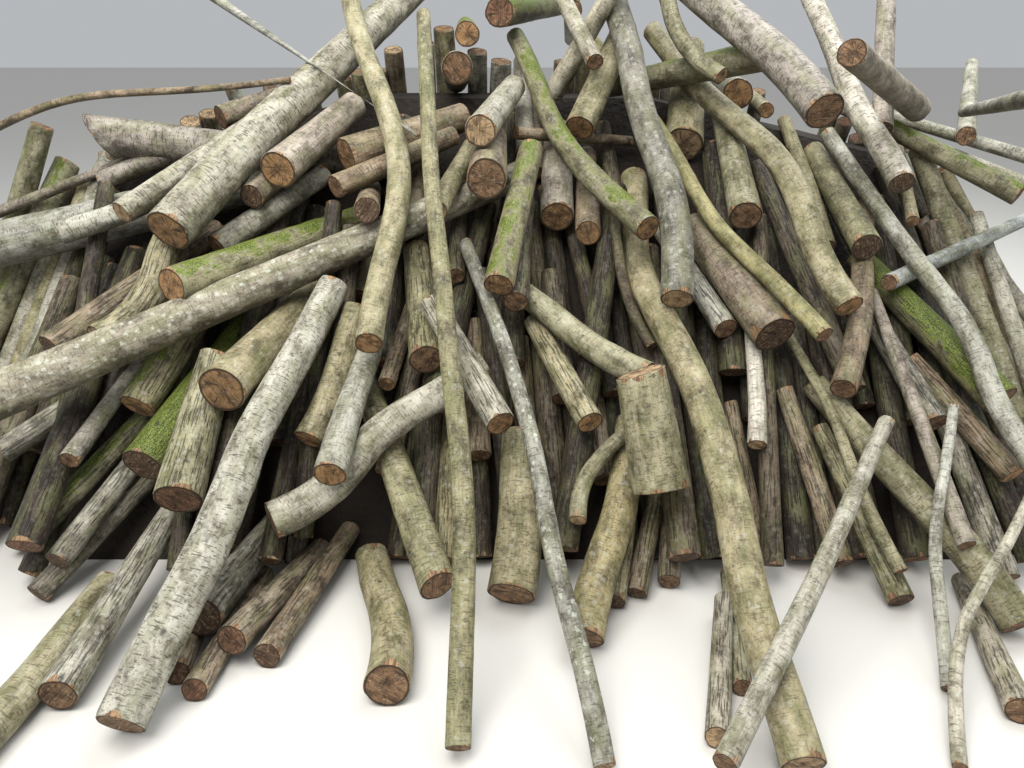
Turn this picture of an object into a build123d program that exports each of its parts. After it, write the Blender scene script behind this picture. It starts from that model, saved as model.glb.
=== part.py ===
from build123d import *
from collections import namedtuple
import math
import os
import random

import numpy as np

# A heap of birch, alder and hazel logs, thrown on one another with their sawn butts forward.
# Millimetres, +Z up, the front of the heap towards -Y. The numbers of each log in sight are its
# real length and thicknesses. Where it lies is read as points along its middle line in a view
# of the heap, 1024 x 768 points wide and high; then the whole heap settles, as thrown logs do,
# until every log rests against its neighbours.

# The view of the heap
EYE_HEIGHT = 1500
EYE_TO_HEAP = 1700
VIEW_PITCH = 25
VIEW_FOCAL = 769
VIEW_CENTRE = (512, 384)

# The core stands for the logs that nobody can see. Each side faces a compass direction, counted
# from +X, starts that far from the core's middle at the ground, and leans back at that slope.
CORE_MIDDLE = (0, 1130)
CORE_HEIGHT = 1250
CORE_SIDES = [
    (270, 900, 47), (228, 1650, 50), (312, 1700, 50), (180, 2250, 62), (0, 2500, 62),
    (135, 1650, 68), (45, 1700, 68), (90, 900, 73),
]
RIDGE_HALF = 500
RIDGE_FALL = 12

# Logs lie this far from what carries them, and this far over the ground
SEAT_GAP = 0.5
GROUND_GAP = 0.3

# How the heap settles: how many rounds, how far a log sinks in the first and the last of them,
# how firmly it is held to its sight lines, and how much it sinks downward beside inward
ROUNDS = 260
FIRST_SINK = 2.5
LAST_SINK = 0.03
CLOSING_ROUNDS = 300
HOLD = 0.2
SINK_DOWN = 0.6

# Logs within this reach of each other are watched, for so many rounds, in so many passes a
# round; the second value is for the closing rounds. A log pushed by many gives way more slowly.
WATCH_REACH = (40, 12)
WATCH_ROUNDS = 8
PASSES = (2, 4)
GIVE_WAY = 1.6
EDGE_REACH = 120

# The lengths of a bent log's straight pieces while it settles, between the points that its bends
# are drawn through, and of its lofted stretches
PIECE_STEP = 80
BEND_STEP = 200
STATION_STEP = 65

# Each log is lofted this much too long and then sawn, this many degrees askew. The butts in sight
# were sawn from above while they lay, so they look up and out from the heap.
SAW_PAST = 25
ASKEW = (1, 8)
BUTT_ASKEW = (8, 16)

# A bent log is traced up to this far from its far end, and keeps this share of its last bend
TRACE_SHORT = 60
TIP_BEND = 0.6

# Logs hidden under the ones in sight, and those at the ends and the back: courses that lean
# from the foot of the heap to its ridge
Course = namedtuple("Course", "node first last count start length thick")
COURSES = [
    Course("front_foot_logs", 204, 336, 36, 0, (800, 1250), (60, 100)),
    Course("front_upper_logs", 210, 330, 22, 560, (700, 1000), (60, 100)),
    Course("left_end_logs", 150, 204, 16, 0, (1000, 1600), (60, 110)),
    Course("right_end_logs", -24, 30, 18, 0, (1000, 1600), (60, 110)),
    Course("back_logs_lower", 30, 150, 26, 0, (1100, 1700), (65, 120)),
    Course("back_logs_upper", 36, 144, 14, 420, (1000, 1500), (70, 115)),
]
RIDGE_REACH = 1500
RIDGE_BACK = 1330
RIDGE_FRONT = 1050

# A log of a course stands this far off the core's foot and over the ground. It aims at a ridge
# point this share as far to the side, scattered along and across the ridge. Its start up the
# slope, its taper and its place in the course vary in these shares.
FOOT_OFF = 70
FOOT_OVER = 60
FAN = 0.9
AIM_SCATTER = (160, 60)
START_SHARES = (0.6, 1.2)
TAPER_SHARES = (0.72, 0.86)
PLACE_SHARES = (0.25, 0.75)
COURSE_SLOPE = 38

# A log in sight: its points run from the sawn butt to the far end or to where it goes out of
# sight. A pitch says how steeply it rises where it points at the viewer; without one it lies
# along the heap. Forks are side branches from the same log: points, thick and thin end.
Seen = namedtuple("Seen", "node length thick thin points pitch slant forks", defaults=(None, None, ()))

BUTTS_BELOW = [
    Seen("left_low_logs", 600, 125, 100, [(147, 462), (230, 360)]),
    Seen("left_low_logs", 450, 110, 85, [(195, 600), (270, 530)]),
    Seen("left_low_logs", 450, 85, 65, [(228, 640), (300, 560)]),
    Seen("left_low_logs", 500, 75, 60, [(262, 655), (325, 560)]),
    Seen("left_low_logs", 600, 70, 55, [(40, 600), (150, 480)]),
    Seen("left_low_logs", 600, 75, 60, [(20, 540), (120, 440)]),
    Seen("left_low_logs", 700, 80, 60, [(10, 450), (120, 380)]),
    Seen("left_low_logs", 700, 70, 55, [(65, 560), (170, 430)]),
    Seen("left_low_logs", 600, 95, 70, [(60, 690), (150, 560)]),
    Seen("right_low_logs", 650, 110, 80, [(1000, 400), (900, 300)]),
    Seen("right_low_logs", 450, 75, 60, [(1008, 474), (960, 425)]),
    Seen("right_low_logs", 650, 80, 60, [(1003, 577), (962, 480)]),
    Seen("right_low_logs", 500, 70, 50, [(1024, 712), (985, 624)]),
    Seen("right_low_logs", 550, 75, 55, [(900, 600), (850, 480)]),
    Seen("right_low_logs", 550, 70, 55, [(840, 560), (790, 440)]),
    Seen("right_low_logs", 550, 80, 60, [(940, 420), (880, 330)]),
    Seen("right_low_logs", 450, 70, 50, [(764, 536), (745, 470)]),
    Seen("right_low_logs", 450, 60, 50, [(718, 740), (722, 660)]),
    Seen("right_low_logs", 450, 50, 40, [(742, 690), (734, 631)]),
    Seen("centre_low_logs", 450, 75, 60, [(383, 471), (400, 420)], 30),
    Seen("centre_low_logs", 450, 70, 60, [(440, 560), (445, 500)], 35),
    Seen("centre_low_logs", 450, 75, 60, [(605, 480), (598, 430)], 30),
    Seen("centre_low_logs", 450, 85, 70, [(560, 400), (555, 350)], 25),
    Seen("centre_low_logs", 450, 80, 65, [(530, 470), (528, 420)], 25),
    Seen("centre_low_logs", 450, 62, 50, [(633, 595), (647, 537)]),
    Seen("centre_low_logs", 450, 68, 52, [(667, 579), (672, 526)]),
    Seen("centre_low_logs", 450, 70, 55, [(615, 600), (622, 540)]),
]

BUTTS_MIDDLE = [
    Seen("centre_butt_logs", 450, 55, 45, [(383, 384), (400, 340)], 20),
    Seen("centre_butt_logs", 450, 80, 65, [(481, 455), (478, 400)], 25),
    Seen("centre_butt_logs", 450, 60, 50, [(461, 278), (462, 240)], 15),
    Seen("centre_butt_logs", 450, 80, 65, [(514, 306), (518, 260)], 15),
    Seen("centre_butt_logs", 450, 105, 85, [(352, 290), (385, 230)], 15),
    Seen("thick_left_logs", 750, 110, 90, [(177, 299), (321, 244)]),
    Seen("left_butt_logs", 650, 95, 75, [(52, 349), (140, 290)]),
    Seen("left_butt_logs", 450, 112, 95, [(153, 414), (190, 350)]),
    Seen("thick_left_logs", 550, 140, 115, [(218, 393), (310, 317)], None, 12),
    Seen("left_butt_logs", 450, 135, 105, [(181, 490), (205, 400)]),
    Seen("left_butt_logs", 450, 68, 55, [(179, 675), (205, 610)]),
    Seen("left_butt_logs", 450, 66, 55, [(197, 693), (240, 620)]),
    Seen("centre_butt_logs", 450, 105, 85, [(426, 363), (420, 299)]),
    Seen("centre_butt_logs", 450, 85, 70, [(501, 426), (468, 368)]),
    Seen("centre_butt_logs", 450, 80, 65, [(589, 418), (550, 359)], None, 4),
    Seen("thick_split_log", 500, 135, 115, [(771, 341), (706, 253)]),
    Seen("right_butt_logs", 450, 78, 60, [(732, 330), (688, 265)]),
]

CROWN = [
    Seen("crown_butt_logs", 450, 80, 70, [(367, 215), (372, 180)], 8),
    Seen("crown_butt_logs", 450, 62, 50, [(415, 232), (417, 200)], 8),
    Seen("crown_butt_logs", 450, 85, 70, [(594, 241), (590, 205)], 8),
    Seen("crown_butt_logs", 450, 115, 95, [(563, 218), (560, 175)], 8),
    Seen("crown_butt_logs", 450, 125, 100, [(491, 188), (495, 150)], 6),
    Seen("crown_butt_logs", 450, 68, 55, [(538, 172), (536, 145)], 6),
    Seen("crown_butt_logs", 450, 70, 55, [(524, 154), (523, 128)], 6),
    Seen("crown_left_logs", 450, 78, 65, [(340, 197), (380, 175)]),
    Seen("crown_left_logs", 450, 118, 95, [(345, 158), (400, 140)]),
    Seen("crown_left_logs", 450, 120, 95, [(282, 177), (330, 135)]),
    Seen("crown_left_logs", 450, 80, 65, [(257, 204), (300, 170)]),
    Seen("crown_left_logs", 450, 85, 70, [(218, 250), (270, 205)]),
    Seen("crown_left_logs", 450, 88, 70, [(220, 116), (300, 90)]),
    Seen("crown_left_logs", 1000, 72, 55, [(319, 64), (370, 35)], 4),
    Seen("crown_right_logs", 450, 110, 90, [(738, 93), (700, 70)], 6),
    Seen("crown_right_logs", 450, 58, 45, [(767, 109), (740, 85)], 6),
    Seen("crown_butt_logs", 450, 112, 90, [(457, 67), (455, 35)], 3),
    Seen("crown_butt_logs", 1000, 90, 75, [(468, 34), (462, 8)], 3),
    Seen("crown_butt_logs", 1000, 100, 85, [(500, 18), (545, 8)], 3),
    Seen("crown_butt_logs", 900, 68, 55, [(573, 8), (575, -15)], 3),
    Seen("crown_butt_logs", 450, 75, 60, [(553, 94), (578, 53)], None, 8),
    Seen("crown_butt_logs", 900, 60, 50, [(598, 62), (578, 23)]),
    Seen("crown_right_logs", 450, 140, 110, [(696, 145), (693, 90)], 20),
    Seen("crown_right_logs", 500, 108, 85, [(745, 212), (706, 116)]),
    Seen("crown_right_logs", 1000, 70, 60, [(884, 130), (886, 46)], 60),
    Seen("crown_right_logs", 1000, 92, 75, [(911, 109), (857, 58)]),
    Seen("crown_right_logs", 550, 95, 75, [(869, 250), (818, 162)]),
    Seen("crown_right_logs", 1000, 68, 55, [(966, 135), (969, 100)], 20),
    Seen("far_right_logs", 600, 75, 60, [(1015, 197), (930, 150)]),
    Seen("far_right_logs", 1150, 48, 36, [(1060, 90), (938, 116)]),
    Seen("far_right_logs", 850, 52, 40, [(1060, 165), (918, 123)]),
    Seen("far_right_logs", 900, 48, 38, [(1060, 200), (915, 139)]),
    Seen("far_left_logs", 1300, 165, 130, [(-60, 262), (60, 232)]),
    Seen("far_left_logs", 900, 48, 30, [(-60, 240), (92, 181)]),
    Seen("forked_left_log", 1200, 130, 95, [(91, 133), (207, 147)], None, 6,
         ([[(138, 181), (175, 160)], 90, 85], [[(106, 184), (160, 165)], 72, 68])),
]

UPPER = [
    Seen("slim_left_logs", 750, 75, 60, [(62, 234), (115, 218), (180, 190)]),
    Seen("steep_left_logs", 450, 90, 75, [(309, 441), (333, 391), (344, 349)]),
    Seen("curved_left_log", 500, 115, 88, [(98, 340), (133, 322), (149, 287), (158, 260)]),
    Seen("steep_left_logs", 500, 90, 72, [(335, 478), (348, 425), (364, 372)]),
    Seen("hollow_split_log", 750, 108, 85, [(273, 520), (330, 490), (360, 453), (438, 398)]),
    Seen("small_branches", 450, 60, 45, [(69, 460), (96, 425)]),
    Seen("right_short_logs", 450, 58, 45, [(750, 446), (750, 404), (746, 360)]),
    Seen("right_short_logs", 600, 62, 48, [(829, 246), (811, 186), (790, 130)]),
    Seen("grey_cross_log", 1100, 55, 42, [(880, 283), (999, 230), (1060, 200)]),
    Seen("right_short_logs", 750, 78, 62, [(850, 392), (867, 323), (869, 251)]),
    Seen("right_thin_poles", 850, 50, 36, [(966, 545), (943, 490), (922, 427), (899, 374), (883, 330)]),
    Seen("right_thin_poles", 800, 40, 28, [(901, 571), (883, 538), (853, 469), (822, 392), (799, 355)]),
    Seen("right_foot_log", 850, 102, 80, [(1017, 629), (985, 580), (939, 526), (860, 440)]),
    Seen("mossy_steep_log", 550, 92, 78, [(503, 290), (525, 179)]),
    Seen("round_green_log", 550, 88, 75, [(648, 386), (628, 377), (583, 345), (537, 306)], None, 4),
    Seen("crown_short_logs", 450, 70, 58, [(439, 219), (472, 165)], None, 8),
    Seen("crown_short_logs", 450, 100, 82, [(480, 148), (518, 90)], None, 10),
    Seen("crown_short_logs", 450, 102, 85, [(579, 129), (610, 64)]),
    Seen("kinked_foot_log", 700, 108, 88, [(585, 638), (601, 572), (624, 503), (631, 436)]),
    Seen("forked_foot_log", 1000, 105, 70, [(442, 584), (417, 537), (406, 503)]),
    Seen("far_left_logs", 600, 100, 80, [(-40, 760), (14, 705), (57, 652), (92, 606)]),
    Seen("cross_right_log", 600, 100, 80, [(767, 56), (660, 77)]),
    Seen("small_branches", 500, 40, 30, [(651, 345), (635, 322), (619, 287), (612, 241)]),
    Seen("small_branches", 450, 45, 36, [(509, 135), (550, 138)]),
    Seen("small_branches", 450, 42, 34, [(913, 220), (905, 180)]),
]

TOP = [
    Seen("thick_foot_log", 340, 165, 135, [(661, 488), (651, 425)]),
    Seen("centre_foot_log", 480, 138, 118, [(511, 595), (520, 526), (520, 460)]),
    Seen("split_foot_log", 520, 115, 95, [(387, 687), (392, 595), (380, 540)]),
    Seen("bevelled_trunk", 1900, 100, 92,
         [(804, 768), (790, 712), (760, 642), (746, 573), (730, 503), (706, 416), (683, 360),
          (651, 299), (633, 253), (631, 179)]),
    Seen("long_left_birch", 1300, 115, 92,
         [(126, 710), (138, 687), (161, 629), (195, 560), (218, 503), (241, 437), (280, 360)]),
    Seen("long_cross_log", 1900, 135, 90,
         [(-60, 432), (23, 395), (115, 361), (207, 326), (275, 281), (353, 248)]),
    Seen("slim_left_logs", 1000, 72, 58, [(124, 217), (243, 135)]),
    Seen("notched_birch", 1500, 142, 112, [(170, 234), (252, 145), (355, 45)]),
    Seen("arm_green_log", 1000, 82, 64,
         [(647, 230), (594, 181), (560, 142), (537, 101), (514, 46)]),
    Seen("green_mossed_log", 1300, 90, 72,
         [(846, 311), (822, 276), (790, 197), (771, 162), (713, 111)]),
    Seen("pinkish_birch", 1200, 118, 98, [(827, 114), (799, 81), (764, 46), (723, 12)]),
    Seen("white_bark_log", 1200, 84, 70, [(904, 183), (883, 144), (857, 104), (832, 46)]),
    Seen("yellow_green_pole", 1400, 56, 44,
         [(820, 341), (790, 307), (757, 272), (716, 230), (674, 158)]),
    Seen("right_curved_pole", 1400, 66, 52,
         [(1060, 505), (1024, 450), (985, 381), (962, 323), (927, 276), (892, 230)]),
    Seen("grey_trunk", 1500, 98, 84,
         [(673, 303), (674, 259), (663, 184), (638, 115), (626, 57), (610, 0)]),
    Seen("top_curved_branch", 900, 58, 46, [(725, 74), (702, 60), (681, 35), (669, 0)]),
    Seen("small_branches", 450, 50, 40, [(571, 521), (573, 503), (594, 455), (628, 425)]),
]

POLES = [
    Seen("curved_green_pole", 1500, 82, 62,
         [(368, 348), (376, 299), (392, 230), (397, 207), (392, 119), (362, 34)], None, 20),
    Seen("blue_grey_pole", 1300, 48, 36, [(420, 138), (400, 88), (344, 8), (289, 0)]),
    Seen("thin_top_branch", 1300, 30, 20, [(-20, 135), (87, 96), (190, 88), (303, 80)]),
    Seen("lichen_pole", 1560, 52, 44,
         [(605, 768), (585, 675), (569, 618), (550, 537), (537, 471), (520, 391), (504, 345),
          (491, 299), (459, 218)]),
    Seen("tall_centre_pole", 2200, 60, 46,
         [(459, 748), (461, 687), (465, 572), (463, 480), (454, 391), (445, 299), (438, 230),
          (433, 184), (429, 110), (429, 0)]),
    Seen("straight_pale_pole", 1120, 54, 44, [(722, 765), (764, 682), (834, 538), (895, 402)]),
    Seen("long_green_branch", 1500, 38, 28,
         [(1000, 560), (990, 440), (932, 332), (913, 288), (874, 220), (850, 167), (781, 111)]),
    Seen("right_front_branches", 1100, 34, 24,
         [(959, 768), (955, 689), (964, 619), (990, 566), (1024, 499)]),
    Seen("right_front_branches", 790, 36, 28, [(948, 689), (943, 631), (934, 550), (936, 503), (950, 416)]),
]

# How far out from the core the logs of each layer start to settle, and how much flatter than
# the heap they lie
LAYERS = [
    (BUTTS_BELOW, 150, 0.4), (BUTTS_MIDDLE, 240, 0.55), (CROWN, 240, 0.5), (UPPER, 320, 0.3),
    (TOP, 390, 0.15), (POLES, 440, 0),
]


def unit(vector):
    """The same directions with length one."""
    return vector / np.linalg.norm(vector, axis=-1, keepdims=True)


def sight(point):
    """The direction from the eye through a point of the view."""
    pitch = math.radians(VIEW_PITCH)
    ahead = np.array([0, math.cos(pitch), -math.sin(pitch)])
    upward = np.array([0, math.sin(pitch), math.cos(pitch)])
    right = (point[0] - VIEW_CENTRE[0]) / VIEW_FOCAL
    down = (point[1] - VIEW_CENTRE[1]) / VIEW_FOCAL
    return unit(ahead + right * np.array([1, 0, 0]) - down * upward)


eye = np.array([0, -EYE_TO_HEAP, EYE_HEIGHT])


# The core: a block with a flat underside, cut by one slope for each side and two for the ridge
def slope_planes():
    """Each face of the core as its outward direction and its distance from the origin."""
    planes = []
    for facing, reach, steepness in CORE_SIDES:
        turn, lean = math.radians(facing), math.radians(steepness)
        level = np.array([math.cos(turn), math.sin(turn), 0])
        outward = level * math.sin(lean) + np.array([0, 0, math.cos(lean)])
        planes.append((outward, outward @ (np.array([*CORE_MIDDLE, 0]) + reach * level)))
    fall = math.radians(RIDGE_FALL)
    for side in (-1, 1):
        outward = np.array([side * math.sin(fall), 0, math.cos(fall)])
        planes.append((outward, outward @ np.array([side * RIDGE_HALF, 0, CORE_HEIGHT])))
    planes.append((np.array([0, 0, 1.0]), CORE_HEIGHT))
    return planes


faces = slope_planes()
widest = max(reach for _, reach, _ in CORE_SIDES)
with BuildPart() as core:
    with BuildSketch(Plane.XY):
        with Locations(CORE_MIDDLE):
            Rectangle(3 * widest, 3 * widest)
    extrude(amount=CORE_HEIGHT)
    for outward, distance in faces[:-1]:
        cut = Plane(origin=tuple(outward * distance), z_dir=tuple(outward))
        split(bisect_by=cut, keep=Keep.BOTTOM)

normals = np.array([outward for outward, _ in faces])
distances = np.array([distance for _, distance in faces])
edges = [edge for edge in core.part.edges() if max((edge @ 0).Z, (edge @ 1).Z) > 1]
edge_start = np.array([tuple(edge @ 0) for edge in edges])
edge_run = np.array([tuple(edge @ 1) for edge in edges]) - edge_start


def on_heap(direction, cover):
    """Where a sight line meets the surface that lies over the core by the cover."""
    toward = normals @ direction
    reach = (distances + cover - normals @ eye) / toward
    nearest = reach[toward < 0].max()
    ground = eye[2] / -direction[2] if direction[2] < 0 else math.inf
    past_ridge = (RIDGE_FRONT - eye[1]) / direction[1]
    leaving = reach[(toward > 0) & (reach > 0)].min(initial=math.inf)
    farthest = min(ground, past_ridge, leaving)
    return eye + direction * min(nearest, farthest)


def spline(known_x, known_y, x):
    """A smooth curve y of x through the known points, straight past the last ones."""
    known_x, known_y = np.asarray(known_x, float), np.asarray(known_y, float)
    count = len(known_x)
    step = np.diff(known_x)
    rise = np.diff(known_y) / step
    matrix, rhs = np.eye(count), np.zeros(count)
    for i in range(1, count - 1):
        matrix[i, i - 1:i + 2] = step[i - 1], 2 * (step[i - 1] + step[i]), step[i]
        rhs[i] = 6 * (rise[i] - rise[i - 1])
    bend = np.linalg.solve(matrix, rhs)
    i = np.clip(np.searchsorted(known_x, x) - 1, 0, count - 2)
    held = np.clip(x, known_x[0], known_x[-1])
    after, before, h = known_x[i + 1] - held, held - known_x[i], step[i]
    curve = (bend[i] * after ** 3 + bend[i + 1] * before ** 3) / (6 * h)
    curve += (known_y[i] / h - bend[i] * h / 6) * after
    curve += (known_y[i + 1] / h - bend[i + 1] * h / 6) * before
    slope = np.where(x < known_x[0], rise[0] - bend[1] * step[0] / 6,
                     rise[-1] + bend[-2] * step[-1] / 6)
    return curve + slope * (x - held)


class Log:
    """A log as it lies: the two ends of its chord, and its tubes as curves beside that chord."""

    def __init__(self, node, butt, along, length, outward, look):
        self.node, self.length, self.outward, self.look = node, length, outward, look
        self.butt, self.tip = butt, butt + along * length
        self.tubes, self.ray, self.sideways = [], None, None
        self.slants = [(math.radians(pick.uniform(*ASKEW)), pick.uniform(0, 2 * math.pi))
                       for _ in range(2)]

    def frame(self):
        """The direction of the chord and the direction in which the log bends."""
        along = unit(self.tip - self.butt)
        across = unit(np.cross(along, self.look))
        return along, across


Tube = namedtuple("Tube", "start finish known_x known_y thick thin joined")


def middle(log, tube, x):
    """Points of a tube's middle line at the distances x from its first end."""
    along, across = log.frame()
    run = tube.finish - tube.start
    reach = np.linalg.norm(run)
    ahead = run / reach
    side = np.array([-ahead[1], ahead[0]])
    flat = tube.start + np.outer(x, ahead) + np.outer(spline(tube.known_x, tube.known_y, x), side)
    return log.butt + np.outer(flat[:, 0], along) + np.outer(flat[:, 1], across)


def width(tube, x):
    """The tube's radius at the distance x."""
    return (tube.thick + (tube.thin - tube.thick) * x / tube.known_x[-1]) / 2


def heading(log, tube, x):
    """The direction of a tube at the distance x."""
    before, after = middle(log, tube, x + np.array([-1.0, 1.0]))
    return unit(after - before)


pick = random.Random(7)


def foot_line(course):
    """The directions of a course from the core's middle, and the distances of the core's foot."""
    turn = np.radians(np.arange(course.first, course.last + 1))
    levels = np.column_stack([np.cos(turn), np.sin(turn), np.zeros_like(turn)])
    facing = np.maximum(levels @ normals.T, 1e-6)
    feet = ((distances - normals @ np.array([*CORE_MIDDLE, 0])) / facing).min(axis=1)
    return levels, feet


def hidden_log(course, i):
    """One log of a hidden course, leaning from its place at the foot towards the ridge."""
    levels, feet = foot_line(course)
    steps = np.linalg.norm(np.diff(levels * feet[:, None], axis=0), axis=1)
    passed = np.concatenate([[0], np.cumsum(steps)])
    share = passed[-1] * (i + pick.uniform(*PLACE_SHARES)) / course.count
    level = unit(np.array([np.interp(share, passed, levels[:, axis]) for axis in range(3)]))
    foot = np.interp(share, passed, feet) + FOOT_OFF
    butt = np.array([*CORE_MIDDLE, 0]) + level * foot + np.array([0, 0, FOOT_OVER])
    reach = min(max(FAN * butt[0], -RIDGE_REACH), RIDGE_REACH)
    drop = math.tan(math.radians(RIDGE_FALL)) * max(abs(reach) - RIDGE_HALF, 0)
    ridge = np.array([reach, RIDGE_BACK, CORE_HEIGHT - drop])
    scatter = [pick.uniform(-spread, spread) for spread in AIM_SCATTER]
    along = unit(ridge - butt + np.array([*scatter, 0]))
    butt = butt + along * course.start * pick.uniform(*START_SHARES)
    length = min(pick.uniform(*course.length), np.linalg.norm(ridge - butt))
    thick = pick.uniform(*course.thick)
    lean = math.radians(COURSE_SLOPE)
    outward = level * math.cos(lean) + np.array([0, 0, math.sin(lean)])
    log = Log(course.node, butt, along, length, outward, outward)
    log.tubes.append(Tube(np.zeros(2), np.array([length, 0]), [0, length], [0, 0], thick,
                          thick * pick.uniform(*TAPER_SHARES), False))
    return log


def rising_axis(log, butt):
    """The direction from the butt at which a log shows its points and has its pitch."""
    aim = sight(log.points[-1])
    reach = np.linalg.norm(butt - eye)
    near, far = 0, 4 * reach
    while far - near > 1:
        half = (near + far) / 2
        rise = unit(eye + aim * half - butt)[2]
        near, far = (half, far) if rise > math.sin(math.radians(log.pitch)) else (near, half)
    return unit(eye + aim * half - butt)


def seen_log(log, cover, dip):
    """One log in sight, with its bends and forks traced along the sight lines."""
    ray, far_ray = sight(log.points[0]), sight(log.points[-1])
    butt = on_heap(ray, cover)
    look = unit(ray + far_ray)
    along = unit(unit(on_heap(far_ray, cover) - butt) + dip * look)
    if log.pitch is not None:
        along = rising_axis(log, butt)
    across = unit(np.cross(along, look))
    plane = np.cross(along, across)

    def traced(point):
        direction = sight(point)
        spot = eye + direction * (plane @ (butt - eye)) / (plane @ direction) - butt
        return np.array([spot @ along, spot @ across])

    laid = Log(log.node, butt, along, log.length, unit(-look + np.array([0, 0, SINK_DOWN])), look)
    askew = math.radians(pick.uniform(*BUTT_ASKEW) if log.slant is None else log.slant)
    laid.slants[0] = (askew, laid.slants[0][1])
    laid.ray, laid.sideways = ray, unit(np.cross(ray, far_ray))
    known = [traced(point) for point in log.points]
    known_x, known_y = [0, log.length], [0, 0]
    if len(known) > 2:
        known = [spot for spot in known if spot[0] < log.length - TRACE_SHORT]
        known_x, known_y = [spot[0] for spot in known], [spot[1] for spot in known]
        slope = (known_y[-1] - known_y[-2]) / (known_x[-1] - known_x[-2])
        known_y.append(known_y[-1] + TIP_BEND * slope * (log.length - known_x[-1]))
        known_x.append(log.length)
        bends = np.linspace(0, log.length, int(log.length / BEND_STEP) + 2)
        known_x, known_y = bends, spline(known_x, known_y, bends)
    laid.tubes.append(Tube(np.zeros(2), np.array([log.length, 0]), known_x, known_y, log.thick,
                           log.thin, False))
    for points, thick, thin in log.forks:
        tip, foot = traced(points[0]), traced(points[1])
        reach = np.linalg.norm(foot - tip)
        laid.tubes.append(Tube(tip, foot, [0, reach], [0, 0], thick, thin, True))
    return laid


logs = [hidden_log(course, i) for course in COURSES for i in range(course.count)]
logs += [seen_log(log, cover, dip) for group, cover, dip in LAYERS for log in group]

# The heap as balls on its logs' middle lines, joined in pairs to straight pieces
butts = np.array([log.butt for log in logs])
tips = np.array([log.tip for log in logs])
lengths = np.array([log.length for log in logs])
looks = np.array([log.look for log in logs])
outwards = np.array([log.outward for log in logs])
ball_log, ball_flat, ball_width, ball_ahead, ball_askew, first = [], [], [], [], [], []
for number, log in enumerate(logs):
    for tube in log.tubes:
        count = 2 if len(tube.known_x) == 2 else int(tube.known_x[-1] / PIECE_STEP) + 2
        x = np.linspace(0, tube.known_x[-1], count)
        spots = middle(log, tube, x) - log.butt
        along, across = log.frame()
        first += list(range(len(ball_log), len(ball_log) + count - 1))
        ball_log += [number] * count
        ball_flat += list(np.column_stack([spots @ along, spots @ across]))
        ball_width += list(width(tube, x))
        ball_ahead += [heading(log, tube, value) @ np.column_stack([along, across]) for value in x]
        ball_askew += [math.tan(log.slants[0][0])] + [math.tan(log.slants[1][0])] * (count - 1)
first = np.array(first)
second = first + 1
ball_log, ball_flat, ball_width = np.array(ball_log), np.array(ball_flat), np.array(ball_width)
ball_ahead, ball_askew = np.array(ball_ahead), np.array(ball_askew)
end_ball = ~(np.isin(np.arange(len(ball_log)), first) & np.isin(np.arange(len(ball_log)), second))
ball_reach = ball_width * np.where(end_ball, np.sqrt(1 + ball_askew ** 2), 1)
seen = np.array([i for i, log in enumerate(logs) if log.ray is not None])
rays = np.array([logs[i].ray for i in seen])
sideways = np.array([logs[i].sideways for i in seen])


def balls():
    """Where the balls of every log are now, and which way the log points there."""
    along = unit(tips - butts)
    across = unit(np.cross(along, looks))
    along, across = along[ball_log], across[ball_log]
    ahead = ball_ahead[:, :1] * along + ball_ahead[:, 1:] * across
    return butts[ball_log] + ball_flat[:, :1] * along + ball_flat[:, 1:] * across, ahead


def nearest(start, run, other_start, other_run):
    """The shares along pairs of straight pieces at which they are nearest to each other, and the
    share along the first at which its whole line is nearest to the other's."""
    gap = start - other_start
    a, e = (run ** 2).sum(-1), (other_run ** 2).sum(-1)
    b, c, f = (run * other_run).sum(-1), (run * gap).sum(-1), (other_run * gap).sum(-1)
    spread = np.maximum(a * e - b * b, 1e-9)
    crossing = (b * f - c * e) / spread
    s = np.clip(crossing, 0, 1)
    t = (b * s + f) / e
    s = np.where((t < 0) | (t > 1), np.clip((np.clip(t, 0, 1) * b - c) / a, 0, 1), s)
    return s, np.clip(t, 0, 1), crossing


def beside(spot, start, run):
    """The share along a straight piece that is nearest to the spot."""
    return np.clip(((spot - start) * run).sum(-1) / (run ** 2).sum(-1), 0, 1)


def deepest(spots, one, two):
    """Where pairs of straight pieces overlap most, as shares along them, how far, and which way."""
    start, run = spots[first[one]], spots[second[one]] - spots[first[one]]
    other, other_run = spots[first[two]], spots[second[two]] - spots[first[two]]
    thick, other_thick = ball_reach[first[one]], ball_reach[first[two]]
    loss, other_loss = thick - ball_reach[second[one]], other_thick - ball_reach[second[two]]
    s, t, crossing = nearest(start, run, other, other_run)
    upright = np.cross(run, other_run)
    apart = abs((upright * (start - other)).sum(1)) / np.maximum(np.linalg.norm(upright, axis=1), 1e-6)
    long, other_long = np.linalg.norm(run, axis=1), np.linalg.norm(other_run, axis=1)
    level = (run * other_run).sum(1) / (long * other_long)
    lean = np.maximum(1 - level ** 2, 1e-9)
    taper = loss / long + other_loss / other_long * level
    toward_thick = taper * apart / np.sqrt(lean * np.maximum(lean - taper ** 2, 1e-9))
    fatter = np.clip(crossing - toward_thick / long, 0, 1)
    zero, full = np.zeros(len(one)), np.ones(len(one))
    s = np.array([s, fatter, zero, full, beside(other, start, run), beside(other + other_run, start, run)])
    t = np.array([t, zero, zero, zero, zero, full])
    t[1:4] = beside(start + s[1:4, :, None] * run, other, other_run)
    between = start + s[..., None] * run - other - t[..., None] * other_run
    apart = np.linalg.norm(between, axis=2)
    over = thick - s * loss + other_thick - t * other_loss - apart
    worst = over.argmax(0), np.arange(len(one))
    return s[worst], t[worst], over[worst], between[worst] / np.maximum(apart[worst], 1e-6)[:, None]


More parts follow.
